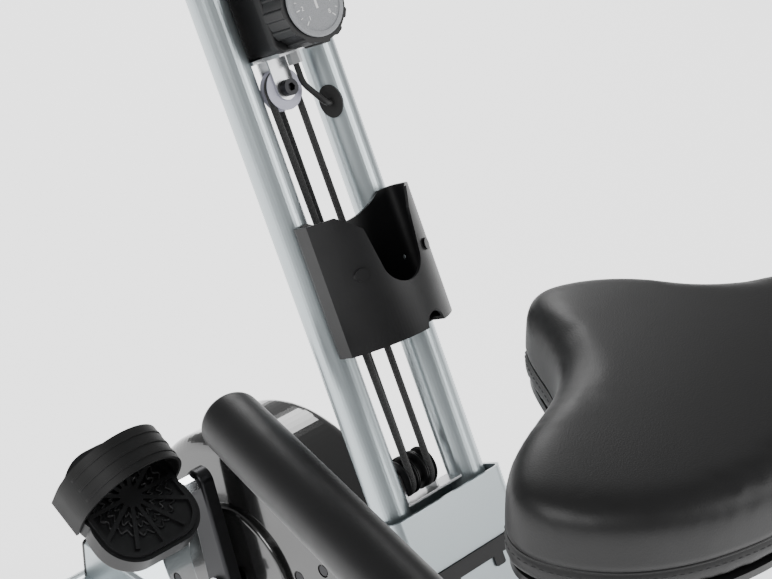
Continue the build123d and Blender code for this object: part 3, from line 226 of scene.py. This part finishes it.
def soft_vinyl():
    """Black saddle vinyl: irregular pebbles, soft creases and a slight sheen."""
    made = Finish("vinyl", Specular_IOR_Level=0.34)
    pebbles = made.cells(780.0)
    creases = made.noise(45.0, 6.0, None, 0.6)
    made.colours(made.noise(14.0, 3.0), (0.004, 0.004, 0.004), (0.007, 0.007, 0.0075))
    made.drive("Roughness", 0.40 + 0.12 * creases)
    made.bump(0.7 * pebbles + 0.5 * creases, 0.00012, 0.7)
    return made.material


def braided_sleeve():
    """Black braid: two crossing diagonal waves."""
    made = Finish("elastic", Sheen_Weight=0.2)
    settings = {"wave_type": "BANDS", "bands_direction": "DIAGONAL"}
    waves = [
        Value(made, made.node("TexWave", settings, {
            "Vector": made.stretched((1.0, hand, 1.0)), "Scale": 420.0, "Distortion": 1.0,
        }).outputs["Fac"]) for hand in (1.0, -1.0)
    ]
    weave = waves[0] * waves[1]
    made.colours(weave, (0.003, 0.003, 0.003), (0.014, 0.014, 0.0145))
    made.drive("Roughness", 0.75 - 0.15 * weave)
    made.bump(weave, 0.0003, 0.8)
    return made.material


def speckled_dial():
    """Grey dial face with fine light and dark specks."""
    made = Finish("dial_grey")
    specks = made.noise(2600.0, 2.0, None, 0.8)
    made.colours(1.6 * (specks - 0.2), (0.10, 0.105, 0.11), (0.42, 0.43, 0.45))
    made.drive("Roughness", 0.45 + 0.15 * made.noise(200.0))
    made.bump(specks, 0.00005, 0.5)
    return made.material


finishes = {
    "silver_paint": metallic_paint(),
    "frame_black": powder_coat(),
    "gloss_black": gloss_shell(),
    "black_plastic": moulded_plastic("black_plastic", (0.006, 0.006, 0.0065), 0.40),
    "console_grey": moulded_plastic("console_grey", (0.018, 0.018, 0.020), 0.45),
    "sheave": moulded_plastic("sheave", (0.42, 0.42, 0.50), 0.40),
    "black_rubber": matt_rubber("black_rubber", (0.006, 0.006, 0.006), 0.55, 900.0, 0.00005),
    "foam": matt_rubber("foam", (0.006, 0.006, 0.0065), 0.44, 1400.0, 0.00006),
    "vinyl": soft_vinyl(),
    "zinc_steel": bare_metal("zinc_steel", (0.62, 0.63, 0.64), 0.30, (1.0, 1.0, 9.0), 0.00003),
    "black_steel": bare_metal("black_steel", (0.035, 0.035, 0.037), 0.36, (4.0, 1.0, 4.0), 0.00004),
    "chrome_steel": bare_metal("chrome_steel", (0.80, 0.81, 0.83), 0.12, (6.0, 6.0, 1.0), 0.00001),
    "cast": bare_metal("cast", (0.24, 0.24, 0.25), 0.45, (1.0, 12.0, 1.0), 0.00006),
    "elastic": braided_sleeve(),
    "dial_grey": speckled_dial(),
}
white_mark = moulded_plastic("white_mark", (0.70, 0.70, 0.70), 0.50)
thread = matt_rubber("thread", (0.030, 0.030, 0.031), 0.70, 3000.0, 0.00005)

for entry in frame["record"]["subparts"]:
    node_mesh = frame["nodes"][entry["node"]].data
    node_mesh.materials.clear()
    node_mesh.materials.append(finishes[entry["material_slot"]])


# ---------------------------------------------------------------- surface helpers
def piece(name, points, faces, finish, body, smooth=True):
    """A mesh object at the origin from vertices and faces, riding on a body."""
    mesh = bpy.data.meshes.new(name)
    mesh.from_pydata(np.asarray(points, float).tolist(), [], np.asarray(faces).tolist())
    mesh.polygons.foreach_set("use_smooth", np.full(len(mesh.polygons), smooth))
    mesh.materials.append(finish)
    mesh.update()
    made = bpy.data.objects.new(name, mesh)
    bpy.context.scene.collection.objects.link(made)
    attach(made, body)
    return made


def outward(obj):
    """Merges doubles and turns every face outwards."""
    work = bmesh.new()
    work.from_mesh(obj.data)
    bmesh.ops.remove_doubles(work, verts=work.verts, dist=1e-6)
    bmesh.ops.recalc_face_normals(work, faces=work.faces)
    work.to_mesh(obj.data)
    work.free()
    obj.data.update()
    return obj


def wrapped(rows, columns, closed):
    """Quads of a grid whose columns wrap round, and whose rows do too when closed."""
    last = rows if closed else rows - 1
    row, column = np.meshgrid(np.arange(last), np.arange(columns), indexing="ij")
    below, beside = (row + 1) % rows, (column + 1) % columns
    corners = [row * columns + column, row * columns + beside,
               below * columns + beside, below * columns + column]
    return np.stack(corners, -1).reshape(-1, 4)


def turned(name, start, axis, profile, finish, body, sides=64):
    """Turned piece: each (distance along the axis, radius) of the profile is swept round it in a circle."""
    axis = np.array(Vector(axis).normalized())
    across = np.cross(axis, (0.0, 0.0, 1.0) if abs(axis[2]) < 0.9 else (1.0, 0.0, 0.0))
    across /= np.linalg.norm(across)
    up = np.cross(axis, across)
    profile = np.array(profile)
    angle = np.linspace(0, 2 * pi, sides, endpoint=False)
    ring = np.cos(angle)[:, None] * across + np.sin(angle)[:, None] * up
    points = (np.array(start) + profile[:, 0, None, None] * axis
              + profile[:, 1, None, None] * ring).reshape(-1, 3)
    return outward(piece(name, points, wrapped(len(profile), sides, False), finish, body))


def tube_round(path, radius, sides=8, flat=1.0, up=(0.0, 0.0, 1.0)):
    """Closed tube: at each path point a circle of the radius, across the path, flattened along up."""
    path = np.asarray(path, float)
    ahead = np.roll(path, -1, 0) - np.roll(path, 1, 0)
    ahead /= np.linalg.norm(ahead, axis=1)[:, None]
    up = np.array(up, float)
    across = np.cross(ahead, up)
    across /= np.linalg.norm(across, axis=1)[:, None]
    angle = np.linspace(0, 2 * pi, sides, endpoint=False)
    points = (path[:, None] + radius * np.cos(angle)[None, :, None] * across[:, None]
              + radius * flat * np.sin(angle)[None, :, None] * up)
    return points.reshape(-1, 3), wrapped(len(path), sides, True)


# ---------------------------------------------------------------- saddle
SADDLE_CAP = 0.004        # furthest that the pressure may move the cover
SEAM_HEIGHT = 0.020       # above the saddle's underside


def saddle_form():
    """The saddle's plain solid, remeshed, with its edges softened and its top crowned.

    Each point's height over the base is scaled by 1 - 0.10 r^2, where r is its distance from the middle
    as a share of the half length, so the top falls away towards the rim.
    """
    mesh = frame["nodes"]["saddle_cushion"].data.copy()
    made = bpy.data.objects.new("saddle_cover", mesh)
    bpy.context.scene.collection.objects.link(made)
    outward(made)
    remesh = made.modifiers.new("even", "REMESH")
    remesh.mode = "VOXEL"
    remesh.voxel_size = 0.005
    soften = made.modifiers.new("soften", "SMOOTH")
    soften.factor = 0.5
    soften.iterations = 12
    settle(made)
    points = read_points(made.data)
    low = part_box("saddle_cushion")[0].z
    middle = (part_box("saddle_cushion")[0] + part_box("saddle_cushion")[1]) / 2
    reach = np.hypot((points[:, 0] - middle.x) / 0.147, (points[:, 1] - middle.y) / 0.224)
    lift = points[:, 2] - low
    points[:, 2] = low + lift * (1.0 - 0.10 * np.clip(reach, 0, 1.3) ** 2)
    write_points(made.data, points)
    return made


def settle(obj):
    """Applies every modifier of the object to its mesh."""
    graph = bpy.context.evaluated_depsgraph_get()
    done = bpy.data.meshes.new_from_object(obj.evaluated_get(graph))
    obj.modifiers.clear()
    obj.data = done


def read_points(mesh):
    flat = np.zeros(3 * len(mesh.vertices), np.float32)
    mesh.vertices.foreach_get("co", flat)
    return flat.reshape(-1, 3).astype(float)


def write_points(mesh, points):
    mesh.vertices.foreach_set("co", np.asarray(points, np.float32).ravel())
    mesh.update()


def inflate(obj, pressure, cap):
    """Blows the cover up by cloth pressure without gravity, and keeps each point within cap of its start."""
    before = read_points(obj.data)
    scene = bpy.context.scene
    cloth = obj.modifiers.new("cloth", "CLOTH")
    cloth.settings.use_pressure = True
    cloth.settings.uniform_pressure_force = pressure
    cloth.settings.effector_weights.gravity = 0.0
    cloth.settings.quality = 5
    cloth.point_cache.frame_start = 1
    cloth.point_cache.frame_end = 20
    for step in range(1, 21):
        scene.frame_set(step)
    settle(obj)
    scene.frame_set(1)
    after = read_points(obj.data)
    move = after - before
    length = np.linalg.norm(move, axis=1)[:, None]
    move *= np.minimum(1.0, cap / np.maximum(length, 1e-9))
    write_points(obj.data, before + move)


def seam_path(tree, centre, height, count=480):
    """Points where level rays from outside meet the cover, at equal angles about the centre."""
    found = []
    for angle in np.linspace(0, 2 * pi, count, endpoint=False):
        away = Vector((cos(angle), sin(angle), 0.0))
        start = Vector((centre.x, centre.y, height)) + away * 0.5
        hit = tree.ray_cast(start, -away)[0]
        if hit is not None:
            found.append(hit)
    return np.array(found)


def even(path, gap):
    """The closed path's points moved to equal spacing of about gap."""
    loop = np.vstack([path, path[:1]])
    along = np.concatenate([[0], np.cumsum(np.linalg.norm(np.diff(loop, axis=0), axis=1))])
    spots = np.linspace(0, along[-1], int(along[-1] / gap), endpoint=False)
    return np.stack([np.interp(spots, along, loop[:, k]) for k in range(3)], 1)


saddle = saddle_form()
inflate(saddle, 4.0, SADDLE_CAP)
saddle_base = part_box("saddle_cushion")[0].z
saddle_middle = (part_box("saddle_cushion")[0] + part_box("saddle_cushion")[1]) / 2
saddle_points = read_points(saddle.data)
saddle_points[:, 2] = np.maximum(saddle_points[:, 2], saddle_base + 0.0005)
write_points(saddle.data, saddle_points)
finer = saddle.modifiers.new("finer", "SUBSURF")
finer.levels = finer.render_levels = 1
settle(saddle)
saddle_points = read_points(saddle.data)
seam_z = saddle_base + SEAM_HEIGHT
below = np.abs(saddle_points[:, 2] - seam_z)
radial = saddle_points[:, :2] - np.array(saddle_middle)[None, :2]
radial /= np.maximum(np.linalg.norm(radial, axis=1)[:, None], 1e-6)
groove = 0.0022 * np.exp(-(below / 0.0028) ** 2)
saddle_points[:, :2] -= radial * groove[:, None]
write_points(saddle.data, saddle_points)
saddle.data.polygons.foreach_set("use_smooth", np.full(len(saddle.data.polygons), True))
saddle.data.materials.clear()
saddle.data.materials.append(finishes["vinyl"])
saddle.data.update()
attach(saddle, "seat")
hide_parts("saddle_cushion")

cover_tree = BVHTree.FromObject(saddle, bpy.context.evaluated_depsgraph_get())
piping_path = even(seam_path(cover_tree, saddle_middle, seam_z), 0.003)
piping_points, piping_faces = tube_round(piping_path, 0.0011)
piping = outward(piece("saddle_seam", piping_points, piping_faces, finishes["vinyl"], "seat"))


def stitches(name, path, pitch, length, radius, finish, body):
    """One mesh of short capsules laid along a closed path, pitch apart.

    Each stitch is a tube whose radius is radius * sqrt(1 - u^2) for u from -1 to 1 along its length.
    """
    spots = even(path, pitch)
    ahead = np.roll(spots, -1, 0) - spots
    ahead /= np.linalg.norm(ahead, axis=1)[:, None]
    up = np.array((0.0, 0.0, 1.0))
    across = np.cross(ahead, up)
    u = np.array([-1.0, -0.8, 0.0, 0.8, 1.0])
    fat = np.sqrt(np.maximum(1 - u ** 2, 0.0004)) * radius
    angle = np.linspace(0, 2 * pi, 6, endpoint=False)
    points = (spots[:, None, None] + (u * length / 2)[None, :, None, None] * ahead[:, None, None]
              + (fat[:, None] * np.cos(angle))[None, :, :, None] * across[:, None, None]
              + (fat[:, None] * np.sin(angle))[None, :, :, None] * up)
    one = wrapped(len(u), 6, False)
    faces = (one[None] + (np.arange(len(spots)) * len(u) * 6)[:, None, None]).reshape(-1, 4)
    caps = np.stack([np.arange(6)[::-1], np.arange(6) + 6 * (len(u) - 1)])
    ends = (caps[None] + (np.arange(len(spots)) * len(u) * 6)[:, None, None]).reshape(-1, 6)
    made = bpy.data.meshes.new(name)
    made.from_pydata(points.reshape(-1, 3).tolist(), [], faces.tolist() + ends.tolist())
    made.materials.append(finish)
    obj = bpy.data.objects.new(name, made)
    bpy.context.scene.collection.objects.link(obj)
    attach(obj, body)
    return outward(obj)


stitch_path = seam_path(cover_tree, saddle_middle, seam_z - 0.005)
saddle_stitches = stitches("saddle_stitches", stitch_path, 0.0062, 0.0044, 0.0006, thread, "seat")

# ---------------------------------------------------------------- foam grips
GRIP_START = (-0.040, -0.165, 0.500)
SIDE_BAR_BEND = (0.352, -0.257, 0.500)
GRIP_LENGTH = 0.300
GRIP_R = 0.026
LEAN = radians(27.8)
MAST_N = np.array((cos(LEAN), 0.0, sin(LEAN)))
MAST_S = np.array((-sin(LEAN), 0.0, cos(LEAN)))
MAST_ORIGIN = np.array((0.0, 0.0, 0.420))


def mast_point(n, y, s):
    """World point from the mast's own directions, in metres."""
    return MAST_ORIGIN + n * MAST_N + np.array((0.0, y, 0.0)) + s * MAST_S


def foam_sleeve(name, start, axis, length, radius, bore, node, body):
    """Foam tube: a straight side with a quarter-round at each end, slightly fuller in the middle, over a bore."""
    quarter = np.linspace(0, pi / 2, 9)
    edge = 0.28 * radius
    nose = [(edge * (1 - np.sin(q)), radius - edge * (1 - np.cos(q))) for q in quarter[::-1]]
    span = np.linspace(edge, length - edge, 40)[1:-1]
    flank = [(z, radius + 0.0004 * sin(pi * z / length)) for z in span]
    tail = [(length - z, r) for z, r in nose[::-1]]
    closed_nose = [(0.0, 0.0002), (0.0, 0.5 * radius)]
    open_tail = [(length, bore), (length - 0.03, bore), (length - 0.03, 0.0002)]
    profile = closed_nose + nose + flank + tail + open_tail
    made = turned(name, start, axis, profile, finishes["foam"], body, 72)
    work = bmesh.new()
    work.from_mesh(made.data)
    bmesh.ops.holes_fill(work, edges=work.edges, sides=100)
    bmesh.ops.recalc_face_normals(work, faces=work.faces)
    work.to_mesh(made.data)
    work.free()
    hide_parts(node)
    return made


foam_sleeve("side_grip", GRIP_START, Vector(SIDE_BAR_BEND) - Vector(GRIP_START), GRIP_LENGTH, GRIP_R, 0.0141,
            "foam_grip", "seat")
for label, hand in (("left", -1), ("right", 1)):
    bar_corner = mast_point(0.0, hand * 0.190, 0.662)
    bar_end = mast_point(0.170, hand * 0.190, 0.654)
    heading = (bar_end - bar_corner) / np.linalg.norm(bar_end - bar_corner)
    foam_sleeve(f"bar_grip_{label}", bar_end + heading * 0.004, -heading, 0.119, 0.017, 0.0126,
                "handlebar_grips", "mast")

# ---------------------------------------------------------------- dial marks
DIAL_N = 0.0740
DIAL_S = 0.371


def on_dial(radius, angle, rise):
    """Point on the dial's face; angle is clockwise from straight up, seen by the rider."""
    return mast_point(DIAL_N + rise, radius * np.sin(angle), DIAL_S + radius * np.cos(angle))


def flat_mark(name, outline, rise):
    """A closed outline on the dial's face (radius, angle), raised into a thin solid plate."""
    count = len(outline)
    base = [on_dial(r, a, -0.0001) for r, a in outline]
    top = [on_dial(r, a, rise) for r, a in outline]
    sides = [(k, (k + 1) % count, count + (k + 1) % count, count + k) for k in range(count)]
    mesh = bpy.data.meshes.new(name)
    mesh.from_pydata([tuple(p) for p in base + top], [], [tuple(range(count))[::-1],
                     tuple(range(count, 2 * count)), *sides])
    mesh.materials.append(white_mark)
    made = bpy.data.objects.new(name, mesh)
    bpy.context.scene.collection.objects.link(made)
    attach(made, "knob")
    return outward(made)


for index, angle in enumerate(np.radians(np.linspace(-135, 135, 15))):
    long_tick = index % 2 == 0
    inner = 0.0178 if long_tick else 0.0192
    half = 0.020 if long_tick else 0.012
    flat_mark(f"dial_tick_{index}", [(inner, angle - half), (0.0214, angle - half),
                                     (0.0214, angle + half), (inner, angle + half)], 0.0003)
arrow = [(0.0105, 0.0), (0.0070, 0.45), (0.0058, 0.17), (0.0052, 2.95), (0.0052, -2.95), (0.0058, -0.17),
         (0.0070, -0.45)]
flat_mark("dial_arrow", arrow, 0.0004)


def dial_number(digit, angle):
    """A number on the dial: the font's outline given a thickness, made a mesh and set in place."""
    curve = bpy.data.curves.new(f"dial_number_{digit}", "FONT")
    curve.body = str(digit)
    curve.size = 0.0052
    curve.extrude = 0.0002
    curve.align_x = "CENTER"
    curve.align_y = "CENTER"
    curve.resolution_u = 4
    text = bpy.data.objects.new(curve.name, curve)
    bpy.context.scene.collection.objects.link(text)
    graph = bpy.context.evaluated_depsgraph_get()
    mesh = bpy.data.meshes.new_from_object(text.evaluated_get(graph))
    bpy.data.objects.remove(text)
    upright = Matrix((Vector((0.0, 1.0, 0.0)), Vector(MAST_S), Vector(MAST_N))).transposed().to_4x4()
    mesh.transform(Matrix.Translation(on_dial(0.0148, angle, 0.0001)) @ upright)
    mesh.materials.clear()
    mesh.materials.append(white_mark)
    made = bpy.data.objects.new(f"dial_number_{digit}", mesh)
    bpy.context.scene.collection.objects.link(made)
    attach(made, "knob")
    return outward(made)


for digit in range(1, 9):
    dial_number(digit, radians(-135 + (digit - 1) * 270 / 7))

# ---------------------------------------------------------------- pedal tread
CRANK_PLACE = np.array((-0.165, 0.0, 0.215))
CRANK_LENGTH = 0.105
PEDAL_TILT = radians(28.0)
PEDAL_INNER_Y = 0.092
PEDAL_HALF = 0.052
PEDAL_SHIFT = -0.013


def pedal_point(hand, x, y, z):
    """World point from the pedal's own directions: x to the heel, y outwards from its middle, z out of the tread."""
    angle = radians(107.0) + (0.0 if hand < 0 else pi)
    eye = CRANK_PLACE + CRANK_LENGTH * np.array((cos(angle), 0.0, sin(angle)))
    ahead = np.array((cos(PEDAL_TILT), 0.0, -sin(PEDAL_TILT)))
    out = np.array((sin(PEDAL_TILT), 0.0, cos(PEDAL_TILT)))
    side = np.array((0.0, hand * 1.0, 0.0))
    x, y, z = (np.asarray(v, float)[..., None] for v in (x, y, z))
    return eye + x * ahead + (y + PEDAL_INNER_Y + PEDAL_HALF) * side + z * out


for label, hand in (("left", -1), ("right", 1)):
    turn_angle = np.linspace(0, 2 * pi, 240, endpoint=False)
    for ring_index, ring_r in enumerate((0.019, 0.028, 0.037)):
        wave = ring_r + 0.0022 * np.sin(24 * turn_angle)
        ring_path = pedal_point(hand, PEDAL_SHIFT + wave * np.cos(turn_angle), wave * np.sin(turn_angle),
                                np.full(turn_angle.shape, 0.0104))
        out = (sin(PEDAL_TILT), 0.0, cos(PEDAL_TILT))
        tread_points, tread_faces = tube_round(ring_path, 0.0011, 8, 1.9, out)
        ring = outward(piece(f"tread_{label}_{ring_index}", tread_points, tread_faces,
                             finishes["black_plastic"], f"pedal_{label[0]}"))

# ---------------------------------------------------------------- strap ribs
STRAP_MIDDLE_X = -0.031
for label, hand in (("left", -1), ("right", 1)):
    for rib_index, rib_x in enumerate((-0.011, 0.0, 0.011)):
        sweep = np.linspace(radians(24), radians(156), 60)
        rib_half = 0.0016
        lift = np.sin(np.linspace(0, pi, 60)) ** 0.3 * 0.0008
        rows = []
        for across_x, height in ((-rib_half, -0.0004), (-rib_half * 0.7, 1.0), (rib_half * 0.7, 1.0), (rib_half, -0.0004)):
            grow = lift if height > 0.5 else height
            rows.append(pedal_point(hand, np.full(60, STRAP_MIDDLE_X + rib_x + across_x),
                                    (0.0548 + grow) * np.cos(sweep),
                                    0.010 + (0.056 + grow) * np.sin(sweep)))
        rib_points = np.stack(rows, 1).reshape(-1, 3)
        rib_faces = wrapped(60, 4, False).tolist() + [[3, 2, 1, 0], [236, 237, 238, 239]]
        mesh = bpy.data.meshes.new(f"strap_rib_{label}_{rib_index}")
        mesh.from_pydata(rib_points.tolist(), [], rib_faces)
        mesh.materials.append(finishes["black_rubber"])
        rib = bpy.data.objects.new(mesh.name, mesh)
        bpy.context.scene.collection.objects.link(rib)
        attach(rib, f"pedal_{label[0]}")
        outward(rib)


# ---------------------------------------------------------------- edges of the carried-over pieces
for node in frame["nodes"].values():
    node.data.polygons.foreach_set("use_smooth", np.full(len(node.data.polygons), False))

# ---------------------------------------------------------------- stage
floor_mesh = bpy.data.meshes.new("floor")
floor_mesh.from_pydata([(-8, -8, 0), (8, -8, 0), (8, 8, 0), (-8, 8, 0)], [], [(0, 1, 2, 3)])
floor_finish = Finish("floor_white", Specular_IOR_Level=0.0, Emission_Color=(1.0, 1.0, 1.0, 1.0), Emission_Strength=1.6)
floor_finish.colours(floor_finish.noise(3.0, 2.0), (0.93, 0.93, 0.935), (0.96, 0.96, 0.965))
floor_finish.drive("Roughness", 0.7 + 0.1 * floor_finish.noise(20.0))
floor_mesh.materials.append(floor_finish.material)
floor = bpy.data.objects.new("floor", floor_mesh)
bpy.context.scene.collection.objects.link(floor)

world = bpy.data.worlds.new("studio")
world.use_nodes = True
world.node_tree.nodes["Background"].inputs[0].default_value = (1.0, 1.0, 1.0, 1.0)
world.node_tree.nodes["Background"].inputs[1].default_value = 0.42
bpy.context.scene.world = world


def soft_light(name, place, target, size, power):
    """A square area light that points at the target."""
    data = bpy.data.lights.new(name, "AREA")
    data.size = size
    data.energy = power
    made = bpy.data.objects.new(name, data)
    bpy.context.scene.collection.objects.link(made)
    heading = Vector(target) - Vector(place)
    made.matrix_world = Matrix.Translation(place) @ heading.to_track_quat("-Z", "Y").to_matrix().to_4x4()


soft_light("key", (0.6, -2.6, 2.6), (0.0, 0.0, 0.5), 1.6, 70.0)
soft_light("fill", (2.6, 1.4, 1.8), (0.0, 0.0, 0.5), 1.8, 45.0)
soft_light("back", (-2.4, 1.6, 2.2), (0.0, 0.0, 0.6), 1.2, 40.0)
